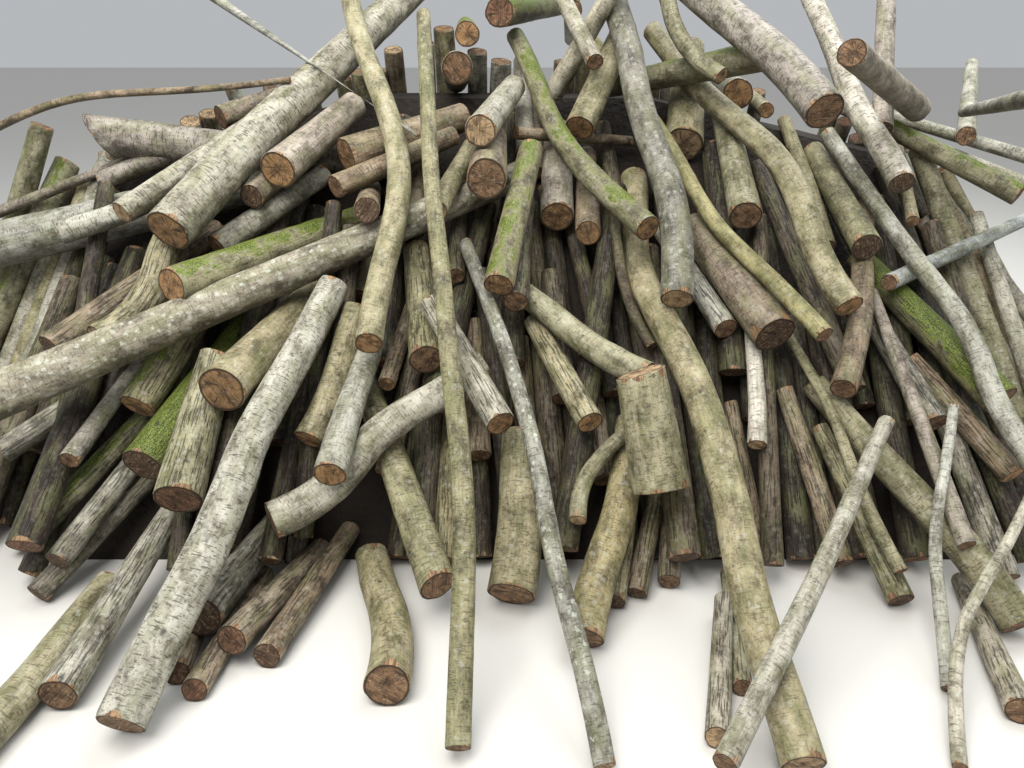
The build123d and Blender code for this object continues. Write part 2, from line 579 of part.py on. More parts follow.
def near_pairs(spots, reach):
    """Pairs of straight pieces of different logs that lie within the reach of each other."""
    fat = np.maximum(ball_reach[first], ball_reach[second])[:, None] + reach / 2
    low = np.minimum(spots[first], spots[second]) - fat
    high = np.maximum(spots[first], spots[second]) + fat
    meet = np.triu(ball_log[first][:, None] != ball_log[first][None, :], 1)
    for axis in range(3):
        meet &= low[:, None, axis] < high[None, :, axis]
        meet &= low[None, :, axis] < high[:, None, axis]
    return np.nonzero(meet)


def push_apart(one, two):
    """Move logs that overlap away from each other and out of the core and the ground."""
    global butts, tips
    spots, ahead = balls()
    move_butt, move_tip = np.zeros_like(butts), np.zeros_like(tips)
    touches = np.zeros(len(logs))

    def shove(owner, place, push):
        share = np.clip(place / lengths[owner], 0, 1)
        even = push / ((1 - share) ** 2 + share ** 2)[:, None]
        np.add.at(move_butt, owner, even * (1 - share)[:, None])
        np.add.at(move_tip, owner, even * share[:, None])
        np.add.at(touches, owner, 1)

    s, t, over, away = deepest(spots, one, two)
    over += SEAT_GAP
    hit = over > 0
    push = (away * over[:, None] / 2)[hit]
    place_one = (ball_flat[first[one], 0] * (1 - s) + ball_flat[second[one], 0] * s)[hit]
    place_two = (ball_flat[first[two], 0] * (1 - t) + ball_flat[second[two], 0] * t)[hit]
    shove(ball_log[first[one]][hit], place_one, push)
    shove(ball_log[first[two]][hit], place_two, -push)

    wood = np.repeat(np.arange(len(first)), len(edge_start))
    edge = np.tile(np.arange(len(edge_start)), len(first))
    start, run = spots[first[wood]], spots[second[wood]] - spots[first[wood]]
    s, t, _ = nearest(start, run, edge_start[edge], edge_run[edge])
    between = start + s[:, None] * run - edge_start[edge] - t[:, None] * edge_run[edge]
    apart = np.linalg.norm(between, axis=1)
    wide = ball_width[first[wood]] * (1 - s) + ball_width[second[wood]] * s
    inside = ((start + s[:, None] * run) @ normals.T < distances).all(1)
    over = np.where(inside, wide + SEAT_GAP + apart, wide + SEAT_GAP - apart)
    hit = (over > 0) & (t > 0) & (t < 1) & (apart < EDGE_REACH)
    sign = np.where(inside, -1, 1)[:, None]
    push = (sign * between / np.maximum(apart, 1e-6)[:, None] * over[:, None])[hit]
    place_one = ball_flat[first[wood], 0] * (1 - s) + ball_flat[second[wood], 0] * s
    shove(ball_log[first[wood]][hit], place_one[hit], push)

    for share in (0.0, 0.25, 0.5, 0.75, 1.0):
        spot = spots[first] + share * (spots[second] - spots[first])
        wide = ball_width[first] + share * (ball_width[second] - ball_width[first])
        at_end = (end_ball[first] & (share == 0)) | (end_ball[second] & (share == 1))
        ball = second if share == 1 else first
        askew = ball_askew[ball][:, None]
        lean = ahead[ball] @ normals.T
        flat = np.where(at_end[:, None], np.sqrt(np.maximum(1 - lean ** 2, 0)) + abs(lean) * askew, 1)
        out = spot @ normals.T - distances - wide[:, None] * flat - SEAT_GAP
        face = out.argmax(1)
        depth = -out[np.arange(len(out)), face]
        hit = (depth > 0) & (spot[:, 2] > 0)
        touch = spot - wide[:, None] * normals[face]
        foot = touch @ normals.T - distances < 1
        hit &= foot.all(1) | (depth > wide)
        place_one = ball_flat[first, 0] * (1 - share) + ball_flat[second, 0] * share
        shove(ball_log[first][hit], place_one[hit], depth[hit][:, None] * normals[face[hit]])
        lean = ahead[ball][:, 2]
        flat = np.sqrt(np.maximum(1 - lean ** 2, 0)) + abs(lean) * ball_askew[ball]
        sunk = np.where(at_end, flat, 1) * wide + GROUND_GAP - spot[:, 2]
        hit = sunk > 0
        shove(ball_log[first][hit], place_one[hit], sunk[hit][:, None] * np.array([[0, 0, 1.0]]))

    ease = (GIVE_WAY / np.maximum(touches, GIVE_WAY))[:, None]
    butts, tips = butts + move_butt * ease, tips + move_tip * ease
    half, centre = (tips - butts) / 2, (tips + butts) / 2
    half = unit(half) * lengths[:, None] / 2
    butts, tips = centre - half, centre + half


def settle():
    """Let every log sink and slide until it rests, and end with all of them just clear."""
    global butts, tips
    for turn in range(ROUNDS + CLOSING_ROUNDS):
        closing = turn >= ROUNDS
        if turn % WATCH_ROUNDS == 0:
            one, two = near_pairs(balls()[0], WATCH_REACH[closing])
        sink = LAST_SINK if closing else FIRST_SINK * (1 - turn / ROUNDS) + LAST_SINK
        butts, tips = butts - sink * outwards, tips - sink * outwards
        if not closing:
            off = butts[seen] - eye
            butts[seen] -= HOLD * (off - (off * rays).sum(1, keepdims=True) * rays)
            off = ((tips[seen] - eye) * sideways).sum(1, keepdims=True)
            tips[seen] -= HOLD * off * sideways
        for _ in range(PASSES[closing]):
            push_apart(one, two)


settle()
for log, butt, tip in zip(logs, butts, tips):
    log.butt, log.tip = butt, tip


# The heap stands with the middle of its underside at the origin
corners = np.array([(corner.X, corner.Y, corner.Z) for corner in core.part.vertices()])
lows, highs = [corners.min(0)], [corners.max(0)]
for log in logs:
    for tube in log.tubes:
        x = np.linspace(0, tube.known_x[-1], int(tube.known_x[-1] / SAW_PAST))
        spots = middle(log, tube, x)
        lean = np.array([heading(log, tube, value) for value in x])
        spread = width(tube, x)[:, None] * np.sqrt(np.maximum(1 - lean ** 2, 0))
        lows.append((spots - spread).min(0))
        highs.append((spots + spread).max(0))
low, high = np.min(lows, axis=0), np.max(highs, axis=0)
stand = Location((-(low[0] + high[0]) / 2, -(low[1] + high[1]) / 2, 0))


def wood(log):
    """A log as a solid: each tube lofted through round sections, its ends sawn a little askew."""
    with BuildPart() as piece:
        for tube in log.tubes:
            length = tube.known_x[-1]
            count = 2 if len(tube.known_x) == 2 else int(length / STATION_STEP) + 2
            past = 0 if tube.joined else SAW_PAST
            for x in np.linspace(-SAW_PAST, length + past, count):
                centre = middle(log, tube, np.array([x]))[0]
                ahead = heading(log, tube, x)
                level = np.cross(ahead, log.frame()[1])
                with BuildSketch(Plane(tuple(centre), x_dir=tuple(level), z_dir=tuple(ahead))):
                    Circle(float(width(tube, x)))
            loft()
            ends = (0,) if tube.joined else (0, length)
            for end, (angle, turn) in zip(ends, log.slants):
                ahead = heading(log, tube, end) * (-1 if end == 0 else 1)
                centre = middle(log, tube, np.array([float(end)]))[0]
                side = unit(np.cross(ahead, log.frame()[1]))
                askew = side * math.cos(turn) + np.cross(ahead, side) * math.sin(turn)
                if log.ray is not None and end == 0:
                    askew = unit(np.cross(np.cross(ahead, eye - centre), ahead))
                facing = ahead * math.cos(angle) + askew * math.sin(angle)
                split(bisect_by=Plane(tuple(centre), z_dir=tuple(facing)), keep=Keep.BOTTOM)
    return piece.part


os.makedirs("parts", exist_ok=True)
core.part.label = "hidden_core"
export_step(core.part.moved(stand), "parts/hidden_core.step")
for node in dict.fromkeys(log.node for log in logs):
    pieces = [wood(log) for log in logs if log.node == node]
    group = Compound(label=node, children=[solid for piece in pieces for solid in piece.solids()])
    export_step(group.moved(stand), f"parts/{node}.step")
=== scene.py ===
import math
from collections import namedtuple

import bpy
import numpy as np
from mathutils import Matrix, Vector


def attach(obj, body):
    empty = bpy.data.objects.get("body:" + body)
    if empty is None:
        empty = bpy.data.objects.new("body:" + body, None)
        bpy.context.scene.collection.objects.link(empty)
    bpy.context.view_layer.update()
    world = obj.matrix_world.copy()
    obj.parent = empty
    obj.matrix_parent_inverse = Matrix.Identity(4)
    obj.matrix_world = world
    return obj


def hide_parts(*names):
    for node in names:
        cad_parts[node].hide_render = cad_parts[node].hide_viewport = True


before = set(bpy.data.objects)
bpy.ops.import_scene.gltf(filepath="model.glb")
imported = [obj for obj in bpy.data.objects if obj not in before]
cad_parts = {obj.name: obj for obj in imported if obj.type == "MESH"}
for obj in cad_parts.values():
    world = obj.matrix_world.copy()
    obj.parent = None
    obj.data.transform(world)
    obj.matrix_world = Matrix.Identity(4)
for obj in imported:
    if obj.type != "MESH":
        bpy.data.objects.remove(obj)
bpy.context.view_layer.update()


# The heap stands on a plain pale floor in soft daylight. The eye is that of someone standing close
# in front of it and looking down a little, as the heap was seen.
def linear(hex_colour):
    """An sRGB hex colour as linear red, green, blue and alpha."""
    parts = [int(hex_colour[i:i + 2], 16) / 255 for i in (1, 3, 5)]
    return [c / 12.92 if c <= 0.04045 else ((c + 0.055) / 1.055) ** 2.4 for c in parts] + [1.0]


def add(tree, kind, settings=None, inputs=None, output=0):
    """Adds a node of this kind, sets its properties, gives each input its value or a link, and
    returns the output of that number, or the node itself where it has no outputs."""
    node = tree.nodes.new(kind)
    for name, value in (settings or {}).items():
        setattr(node, name, value)
    for name, value in (inputs or {}).items():
        if isinstance(value, bpy.types.NodeSocket):
            tree.links.new(value, node.inputs[name])
        else:
            node.inputs[name].default_value = value
    return node.outputs[output] if node.outputs else node


def fresh_material(name, roughness):
    """An empty material, its node tree, and its shader with the gloss of weathered wood."""
    material = bpy.data.materials.new(name)
    material.use_nodes = True
    tree = material.node_tree
    tree.nodes.clear()
    surface = add(tree, "ShaderNodeBsdfPrincipled", None, {"Roughness": roughness, "IOR": 1.45})
    add(tree, "ShaderNodeOutputMaterial", None, {"Surface": surface})
    return material, tree, surface.node


FLOOR_HALF = 30
FLOOR_DROP = 0.0005
floor_matter, floor_tree, floor_shader = fresh_material("pale_floor", 0.85)
floor_shader.inputs["Base Color"].default_value = linear("#d9d7d1")
floor_mesh = bpy.data.meshes.new("floor")
floor_mesh.from_pydata([(x * FLOOR_HALF, y * FLOOR_HALF, -FLOOR_DROP)
                        for x, y in ((-1, -1), (1, -1), (1, 1), (-1, 1))], [], [(0, 1, 2, 3)])
floor_mesh.materials.append(floor_matter)
floor = bpy.data.objects.new("floor", floor_mesh)
bpy.context.scene.collection.objects.link(floor)

world = bpy.data.worlds.new("overcast")
bpy.context.scene.world = world
world.use_nodes = True
world.node_tree.nodes["Background"].inputs["Color"].default_value = (0.93, 0.96, 1.0, 1)
world.node_tree.nodes["Background"].inputs["Strength"].default_value = 0.5
PANEL_SIZE = 3.5
panels = [
    ((-1.2, -2.2, 5.0), (0, 0, 0.8), 330, (1.0, 0.98, 0.95)),
    ((1.8, 1.6, 4.6), (0, 0, 0.9), 200, (0.95, 0.98, 1.0)),
]
for number, (place, aim, power, colour) in enumerate(panels):
    lamp = bpy.data.lights.new(f"sky_panel_{number}", "AREA")
    lamp.size, lamp.energy, lamp.color = PANEL_SIZE, power, colour
    holder = bpy.data.objects.new(f"sky_panel_{number}", lamp)
    holder.location = place
    holder.rotation_euler = (Vector(place) - Vector(aim)).to_track_quat("Z", "Y").to_euler()
    bpy.context.scene.collection.objects.link(holder)

EYE = (-0.0642, -2.5864, 1.5)
EYE_PITCH = 25
LENS = 27.04
camera = bpy.data.cameras.new("eye")
camera.lens, camera.sensor_width = LENS, 36
eye = bpy.data.objects.new("eye", camera)
eye.location = EYE
eye.rotation_euler = (math.radians(90 - EYE_PITCH), 0, 0)
bpy.context.scene.collection.objects.link(eye)
bpy.context.scene.camera = eye
bpy.context.scene.view_settings.view_transform = "Standard"


# The heart of the heap, where nothing is seen but the dark between the logs: painted shade, a
# nearly black and rough surface on the imported solid itself, with crumbs 20 mm across.
CRUMB = 1 / 45
gap_shade_matter, gap_shade_tree, gap_shade_shader = fresh_material("painted_gap_shade", 0.85)
place = add(gap_shade_tree, "ShaderNodeTexCoord", None, None, 3)
crumbs = add(gap_shade_tree, "ShaderNodeTexNoise", None, {"Vector": place, "Scale": 1 / CRUMB, "Detail": 6.0})
# The colour is painted shade: two near-black browns mixed by the crumbs.
painted_gap_tones = add(gap_shade_tree, "ShaderNodeMix", {"data_type": "RGBA"},
             {0: crumbs, 6: linear("#15100b"), 7: linear("#2e241a")}, 2)
gap_shade_tree.links.new(painted_gap_tones, gap_shade_shader.inputs["Base Color"])
relief = add(gap_shade_tree, "ShaderNodeBump", None, {"Strength": 1.0, "Distance": 0.012, "Height": crumbs})
gap_shade_tree.links.new(relief, gap_shade_shader.inputs["Normal"])
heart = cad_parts["hidden_core"]
heart.data.materials.clear()
heart.data.materials.append(gap_shade_matter)


# Bark as it is on birch, alder and hazel: a thin skin with pores across it, algae and lichen on
# the old wood, moss where rain stays. Every log carries its own tones as attributes on its mesh.
# The noise patterns: how wide and how long their lumps are in millimetres, detail and roughness.
BARK_PATTERNS = {
    "clouds": (48, 85, 3, 0.65), "speckle": (6, 9, 2, 0.7), "film": (34, 130, 1, 0.5),
    "dashes": (24, 4.2, 1, 0.5), "gullies": (5.5, 70, 2, 0.6), "plates": (20, 30, 2, 0.65),
    "blades": (3, 3, 1, 0.7),
}
LICHEN_CELL = 1 / 44


def bark_matter(name, pores, furrows, flakes):
    """Bark of one kind: how strong its cross pores, lengthwise furrows and dark flakes are. Each
    coat is a colour over the ones before, with a share eased from 0 at the low mark of a value
    to its full strength at the high one."""
    material, tree, shader = fresh_material(name, 0.62)
    grain, light, dark = (
        add(tree, "ShaderNodeAttribute", {"attribute_name": key}, None, way)
        for key, way in (("grain", 1), ("light", 0), ("dark", 0)))
    marks = add(tree, "ShaderNodeAttribute", {"attribute_name": "marks"}).node
    mossy = add(tree, "ShaderNodeSeparateColor", None, {"Color": marks.outputs["Color"]})
    field = {"mossy": mossy, "torn": mossy.node.outputs[2], "knot": marks.outputs["Alpha"]}
    lichened = mossy.node.outputs[1]
    for key, (across, along, detail, rough) in BARK_PATTERNS.items():
        lumps = add(tree, "ShaderNodeMapping", None,
                    {"Vector": grain, "Scale": (1000 / across, 1000 / across, 1000 / along)})
        field[key] = add(tree, "ShaderNodeTexNoise", None,
                         {"Vector": lumps, "Scale": 1.0, "Detail": detail, "Roughness": rough})
    cells = add(tree, "ShaderNodeMapping", None, {"Vector": grain, "Scale": [1 / LICHEN_CELL] * 3})
    field["cells"] = add(tree, "ShaderNodeTexVoronoi", None, {"Vector": cells, "Scale": 1.0})
    facing = add(tree, "ShaderNodeNewGeometry", None, None, 1)
    field["up"] = add(tree, "ShaderNodeSeparateXYZ", None, {"Vector": facing}, 2)

    # Sums of two patterns: the first times its weight, plus the second.
    for key, one, weight, two in (
            ("mottle", "speckle", 0.55, "clouds"), ("algae", "speckle", 0.35, "film"),
            ("patch", "speckle", 0.3, "clouds"), ("crust", "speckle", 1.1, "cells"),
            # The underside sum here, and its share and coat below, are painted shade: darker where the bark
            # faces down.
            ("painted_underside_shade", "clouds", 1.2, "up"), ("damp", "up", 0.32, "clouds"),
            ("moss", "mossy", 0.75, "damp"), ("moss", "blades", 0.25, "moss")):
        field[key] = add(tree, "ShaderNodeMath", {"operation": "MULTIPLY_ADD"},
                         {0: field[one], 1: weight, 2: field[two]})

    # Shares: the value that they follow, its low and high mark, and their full strength.
    share = {}
    for key, value, low, high, full in (
            ("light", "mottle", 0.535, 0.935, 1), ("grime", "speckle", 0.55, 0.72, 0.45),
            ("algae", "algae", 0.615, 0.855, 0.4), ("pores", "dashes", 0.58, 0.65, 0.75 * pores),
            ("furrows", "gullies", 0.52, 0.63, 0.85 * furrows),
            ("flakes", "plates", 0.58, 0.62, 0.9 * flakes),
            ("crusted", "plates", 0.36, 0.5, 0.75), ("crust", "crust", 0.87, 0.75, "crusted"),
            # The underside share is painted shade, growing where the bark faces the floor.
            ("patch", "patch", 0.77, 0.83, 0.45), ("painted_underside_shade", "painted_underside_shade", 0.75, -0.15, 0.6),
            ("moss_here", "mossy", 0.02, 0.1, 1), ("moss", "moss", 1.375, 1.495, "moss_here"),
            ("lit_blades", "blades", 0.35, 0.68, 1), ("pale_fibres", "gullies", 0.4, 0.6, 1),
            ("torn", "torn", 0.35, 0.6, 1), ("knot", "knot", 0.35, 0.9, 0.85)):
        share[key] = add(tree, "ShaderNodeMapRange", {"interpolation_type": "SMOOTHSTEP"},
                         {0: field[value], 1: low, 2: high, 4: share.get(full, full)})
    lichen = add(tree, "ShaderNodeMath", {"operation": "ADD"}, {0: share["crust"], 1: share["patch"]})
    share["lichen"] = add(tree, "ShaderNodeMath", {"operation": "MULTIPLY"}, {0: lichen, 1: lichened})

    # Colours that change over the log: the base, the colour over it, and that one's share.
    colours = {"bark": (dark, light, "light"),
               "moss": (linear("#2f3a18"), linear("#808e36"), "lit_blades"),
               "raw": (linear("#6c5039"), linear("#ab8c68"), "pale_fibres")}
    for key, (base, top, amount) in colours.items():
        colours[key] = add(tree, "ShaderNodeMix", {"data_type": "RGBA"},
                           {0: share[amount], 6: base, 7: top}, 2)
    body = colours["bark"]
    for amount, colour in (
            ("grime", linear("#2e281e")), ("algae", linear("#767a4c")), ("pores", linear("#2f271d")),
            ("furrows", linear("#241d15")), ("flakes", linear("#211b14")), ("lichen", linear("#cfd2c4")),
            # The underside coat is painted shade, a dark brown where the bark faces down.
            ("painted_underside_shade", linear("#2a2318")), ("moss", colours["moss"]), ("torn", colours["raw"]),
            ("knot", linear("#221a13"))):
        body = add(tree, "ShaderNodeMix", {"data_type": "RGBA"}, {0: share[amount], 6: body, 7: colour}, 2)
    tree.links.new(body, shader.inputs["Base Color"])

    fine = add(tree, "ShaderNodeMath", {"operation": "MULTIPLY"}, {0: field["speckle"], 1: 0.6})
    height = add(tree, "ShaderNodeMath", {"operation": "MULTIPLY_ADD"},
                 {0: share["furrows"], 1: -0.8 / 0.85, 2: fine})
    bump = add(tree, "ShaderNodeBump", None, {"Strength": 1.0, "Distance": 0.0045, "Height": height})
    tree.links.new(bump, shader.inputs["Normal"])
    return material


# Sawn wood, cut across with a chainsaw: growth rings round the pith, tooth lines, radial drying
# cracks, a dark rim where the bark was cut through, all browned by a winter in the rain.
# The noise patterns: the size of their lumps in millimetres each way, detail and roughness.
SAWN_PATTERNS = {
    "wobble": (14, 14, 14, 2, 0.55), "gate": (30, 30, 30, 1, 0.55), "teeth": (0.9, 60, 60, 2, 0.7),
    "arcs": (5.5, 75, 75, 3, 0.6), "stains": (26, 26, 26, 4, 0.6), "blotch": (9, 9, 9, 4, 0.7),
}
RING_WIDTH = 0.0034


def sawn_matter():
    """The cut faces of the logs, on their own tone and the in-plane place that the grain gives.
    The rings are a sine of the distance from the pith, and the cracks are where a noise that
    changes only with the direction from the pith crosses its middle."""
    material, tree, shader = fresh_material("sawn_end_grain", 0.85)
    grain, tone, rim, pith = (
        add(tree, "ShaderNodeAttribute", {"attribute_name": key}, None, way)
        for key, way in (("grain", 1), ("sawn", 0), ("share", 2), ("pith", 1)))
    field = {"rim": rim}
    for key, (*lumps, detail, rough) in SAWN_PATTERNS.items():
        sizes = add(tree, "ShaderNodeMapping", None,
                    {"Vector": grain, "Scale": [1000 / lump for lump in lumps]})
        field[key] = add(tree, "ShaderNodeTexNoise", None,
                         {"Vector": sizes, "Scale": 1.0, "Detail": detail, "Roughness": rough})
    apart = add(tree, "ShaderNodeVectorMath", {"operation": "SUBTRACT"}, {0: grain, 1: pith})
    flat = add(tree, "ShaderNodeVectorMath", {"operation": "MULTIPLY"}, {0: apart, 1: (1, 1, 0)})
    radius = add(tree, "ShaderNodeVectorMath", {"operation": "LENGTH"}, {0: flat}, 1)
    spoke = add(tree, "ShaderNodeVectorMath", {"operation": "NORMALIZE"}, {0: flat})
    bent = add(tree, "ShaderNodeMath", {"operation": "MULTIPLY"}, {0: field["wobble"], 1: 9.0})
    phase = add(tree, "ShaderNodeMath", {"operation": "MULTIPLY_ADD"},
                {0: radius, 1: 2 * math.pi / RING_WIDTH, 2: bent})
    field["rings"] = add(tree, "ShaderNodeMath", {"operation": "SINE"}, {0: phase})
    seed = add(tree, "ShaderNodeVectorMath", {"operation": "SCALE"}, {0: pith, "Scale": 900.0})
    way = add(tree, "ShaderNodeVectorMath", {"operation": "ADD"}, {0: spoke, 1: seed})
    fan = add(tree, "ShaderNodeTexNoise", None,
              {"Vector": way, "Scale": 3.2, "Detail": 4.0, "Roughness": 0.7})
    middle = add(tree, "ShaderNodeMath", {"operation": "SUBTRACT"}, {0: fan, 1: 0.5})
    field["seam"] = add(tree, "ShaderNodeMath", {"operation": "ABSOLUTE"}, {0: middle})
    field["edge"] = add(tree, "ShaderNodeMath", {"operation": "MULTIPLY_ADD"},
                        {0: field["blotch"], 1: 0.06, 2: rim})

    # Shares, as on the bark: the value, its low and high mark, and the full strength.
    share = {}
    for key, value, low, high, full in (
            ("stains", "stains", 0.44, 0.62, 0.7), ("blotch", "blotch", 0.52, 0.7, 0.5),
            ("heartwood", "rim", 0.45, 0.1, 0.4), ("rings", "rings", 0.1, 1.0, 0.35),
            ("teeth", "teeth", 0.52, 0.7, 0.35), ("arcs", "arcs", 0.52, 0.66, 0.5),
            ("gated", "gate", 0.4, 0.52, 1), ("inside", "rim", 0.9, 0.7, "gated"),
            ("cracks", "seam", 0.012, 0.004, "inside"), ("edge", "edge", 0.9, 0.96, 0.85)):
        share[key] = add(tree, "ShaderNodeMapRange", {"interpolation_type": "SMOOTHSTEP"},
                         {0: field[value], 1: low, 2: high, 4: share.get(full, full)})
    body = tone
    for amount, colour in (
            ("stains", "#35261c"), ("blotch", "#cbb08c"), ("heartwood", "#4d3626"), ("rings", "#48331f"),
            ("teeth", "#dcc5a0"), ("arcs", "#2a1c12"), ("cracks", "#1a110b"), ("edge", "#33261b")):
        body = add(tree, "ShaderNodeMix", {"data_type": "RGBA"},
                   {0: share[amount], 6: body, 7: linear(colour)}, 2)
    tree.links.new(body, shader.inputs["Base Color"])

    height = 0.0
    for value, weight in ((field["teeth"], 0.3), (field["arcs"], 0.8), (field["rings"], 0.1),
                          (share["cracks"], -2.2), (field["blotch"], 0.5)):
        height = add(tree, "ShaderNodeMath", {"operation": "MULTIPLY_ADD"}, {0: value, 1: weight, 2: height})
    bump = add(tree, "ShaderNodeBump", None, {"Strength": 0.9, "Distance": 0.0018, "Height": height})
    tree.links.new(bump, shader.inputs["Normal"])
    return material


# Every log is a skin carried along its own middle line, closed with a sawn face at both ends.
# Where each log lies, how it bends and how thick it is comes from the solid that it dresses.
def unit(vector):
    """The same directions with length one."""
    return vector / np.maximum(np.linalg.norm(vector, axis=-1, keepdims=True), 1e-12)


def shared_label(label, links):
    """The lowest label that linked things share, spread until nothing changes."""
    while True:
        low = label[links].min(axis=1)
        spread = label.copy()
        np.minimum.at(spread, links.ravel(), np.repeat(low, links.shape[1]))
        spread = spread[spread]
        if (spread == label).all():
            return label
        label = spread


def solids_of(node):
    """The points and triangles of each solid of a CAD node, its doubles merged, in their order."""
    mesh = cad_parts[node].data
    spots = np.empty(len(mesh.vertices) * 3, np.float32)
    mesh.vertices.foreach_get("co", spots)
    mesh.calc_loop_triangles()
    tris = np.empty(len(mesh.loop_triangles) * 3, np.int32)
    mesh.loop_triangles.foreach_get("vertices", tris)
    spots, first, same = np.unique(spots.reshape(-1, 3), axis=0, return_index=True, return_inverse=True)
    tris = same.ravel()[tris.reshape(-1, 3)]
    tris = tris[(tris[:, 0] != tris[:, 1]) & (tris[:, 1] != tris[:, 2]) & (tris[:, 0] != tris[:, 2])]
    label = shared_label(np.arange(len(spots)), tris)
    order = {}
    for mark in np.unique(label):
        order[first[label == mark].min()] = mark
    return [(spots.astype(float), tris[label[tris[:, 0]] == order[key]]) for key in sorted(order)]


# A sawn face is looked for among the largest patches. Its triangles' directions agree to LEVEL,
# the cosine between two, and a slanting cut reaches at most ROUNDNESS times an even disc's radius.
LARGEST_PATCHES = 40
LEVEL = 0.999
ROUNDNESS = 1.7


def flat_ends(spots, tris):
    """The middle, outward direction and radius of each flat sawn face, the widest first: patches
    of triangles that lie in one plane, and whose rim is about as far out as an even disc's."""
    a, b, c = spots[tris[:, 0]], spots[tris[:, 1]], spots[tris[:, 2]]
    cross = np.cross(b - a, c - a)
    area = np.linalg.norm(cross, axis=1) / 2
    facing = unit(cross)
    edges = np.sort(np.concatenate([tris[:, [0, 1]], tris[:, [1, 2]], tris[:, [2, 0]]]), axis=1)
    owner = np.tile(np.arange(len(tris)), 3)
    order = np.lexsort((edges[:, 1], edges[:, 0]))
    edges, owner = edges[order], owner[order]
    pair = (edges[1:] == edges[:-1]).all(axis=1)
    one, two = owner[:-1][pair], owner[1:][pair]
    smooth = (facing[one] * facing[two]).sum(axis=1) > LEVEL
    label = shared_label(np.arange(len(tris)), np.column_stack([one, two])[smooth])
    ends = []
    total = np.bincount(label, area, len(tris))
    for mark in np.argsort(-total)[:LARGEST_PATCHES]:
        patch = label == mark
        rim = spots[np.unique(tris[patch])]
        centre = (((a + b + c) / 3)[patch] * area[patch, None]).sum(axis=0) / area[patch].sum()
        radius = math.sqrt(area[patch].sum() / math.pi)
        if len(rim) > 4 and np.linalg.norm(rim - centre, axis=1).max() < ROUNDNESS * radius:
            ends.append((centre, unit(cross[patch].sum(axis=0)), radius))
    return sorted(ends, key=lambda end: -end[2])


def round_section(spots, edges, point, ahead, reach):
    """The middle and radius of the round section that a plane cuts, fitted as a circle."""
    side = (spots - point) @ ahead
    cut = edges[(side[edges[:, 0]] > 0) != (side[edges[:, 1]] > 0)]
    share = side[cut[:, 0]] / (side[cut[:, 0]] - side[cut[:, 1]])
    rim = spots[cut[:, 0]] + share[:, None] * (spots[cut[:, 1]] - spots[cut[:, 0]]) - point
    rim = rim[np.linalg.norm(rim, axis=1) < reach]
    across = unit(np.cross(ahead, [0.31, 0.52, 0.8]))
    upward = np.cross(ahead, across)
    x, y = rim @ across, rim @ upward
    fit = np.linalg.lstsq(np.column_stack([2 * x, 2 * y, np.ones_like(x)]), x * x + y * y, rcond=None)[0]
    return point + fit[0] * across + fit[1] * upward, math.sqrt(max(fit[2] + fit[0] ** 2 + fit[1] ** 2, 1e-8))


Shape = namedtuple("Shape", "line radii butt_facing tip_facing")
# A log whose middle strays by less than STRAIGHT_WITHIN metres is a plain cone, measured at
# CUT_SHARE of its length from each end. Any other is followed in steps of LINE_STEP metres.
STRAIGHT_WITHIN = 0.0015
CUT_SHARE = 0.2
LINE_STEP = 0.12
MOST_STEPS = 60


def middle_line(spots, tris, butt, tip):
    """The middle line and radii of a solid from one sawn face to the other. A straight cone needs
    its two ends and its middle; a bent log is followed in steps, each aimed by the section ahead."""
    edges = np.unique(np.sort(np.concatenate([tris[:, [0, 1]], tris[:, [1, 2]]]), axis=1), axis=0)
    line, radii = [butt[0]], [butt[2]]
    span = np.linalg.norm(tip[0] - butt[0])
    middle, _ = round_section(spots, edges, (butt[0] + tip[0]) / 2, unit(tip[0] - butt[0]), 4 * butt[2])
    if np.linalg.norm(middle - (butt[0] + tip[0]) / 2) < STRAIGHT_WITHIN:
        ahead = unit(tip[0] - butt[0])
        near, far = (round_section(spots, edges, butt[0] + ahead * span * cut, ahead, 3 * butt[2])[1]
                     for cut in (CUT_SHARE, 1 - CUT_SHARE))
        fall = CUT_SHARE * (far - near) / (1 - 2 * CUT_SHARE)
        return Shape(np.array([butt[0], (butt[0] + tip[0]) / 2, tip[0]]),
                     np.array([near - fall, (near + far) / 2, far + fall]), butt[1], tip[1])
    ahead = -butt[1]
    for _ in range(MOST_STEPS):
        guess = line[-1] + ahead * LINE_STEP
        for _ in range(3):
            centre, radius = round_section(spots, edges, guess, ahead, 2.2 * radii[-1])
            ahead = unit(centre - line[-1])
            guess = line[-1] + ahead * LINE_STEP
        line.append(centre)
        radii.append(radius)
        if np.linalg.norm(tip[0] - centre) < 1.5 * LINE_STEP:
            break
    line.append(tip[0])
    radii.append(radii[-1] + (radii[-1] - radii[-2]) * 0.9)
    radii[0] = radii[1] + (radii[1] - radii[2])
    return Shape(np.array(line), np.array(radii), butt[1], tip[1])


def fork_line(spots, tris, end, trunk):
    """A side branch from its sawn face straight into the middle of the trunk."""
    edges = np.unique(np.sort(np.concatenate([tris[:, [0, 1]], tris[:, [1, 2]]]), axis=1), axis=0)
    ahead = -end[1]
    for _ in range(3):
        centre, radius = round_section(spots, edges, end[0] + ahead * 0.8 * end[2], ahead, 1.3 * end[2])
        ahead = unit(centre - end[0])
    steps = np.linspace(0, 1, 9)[:, None]
    fine = np.concatenate([a + steps * (b - a) for a, b in zip(trunk[:-1], trunk[1:])])
    along = (fine - end[0]) @ ahead
    foot = end[0] + ahead * along[np.linalg.norm(fine - end[0] - along[:, None] * ahead, axis=1).argmin()]
    line = np.array([end[0], (end[0] + foot) / 2, foot])
    return Shape(line, np.array([end[2], radius, radius]), end[1], ahead)


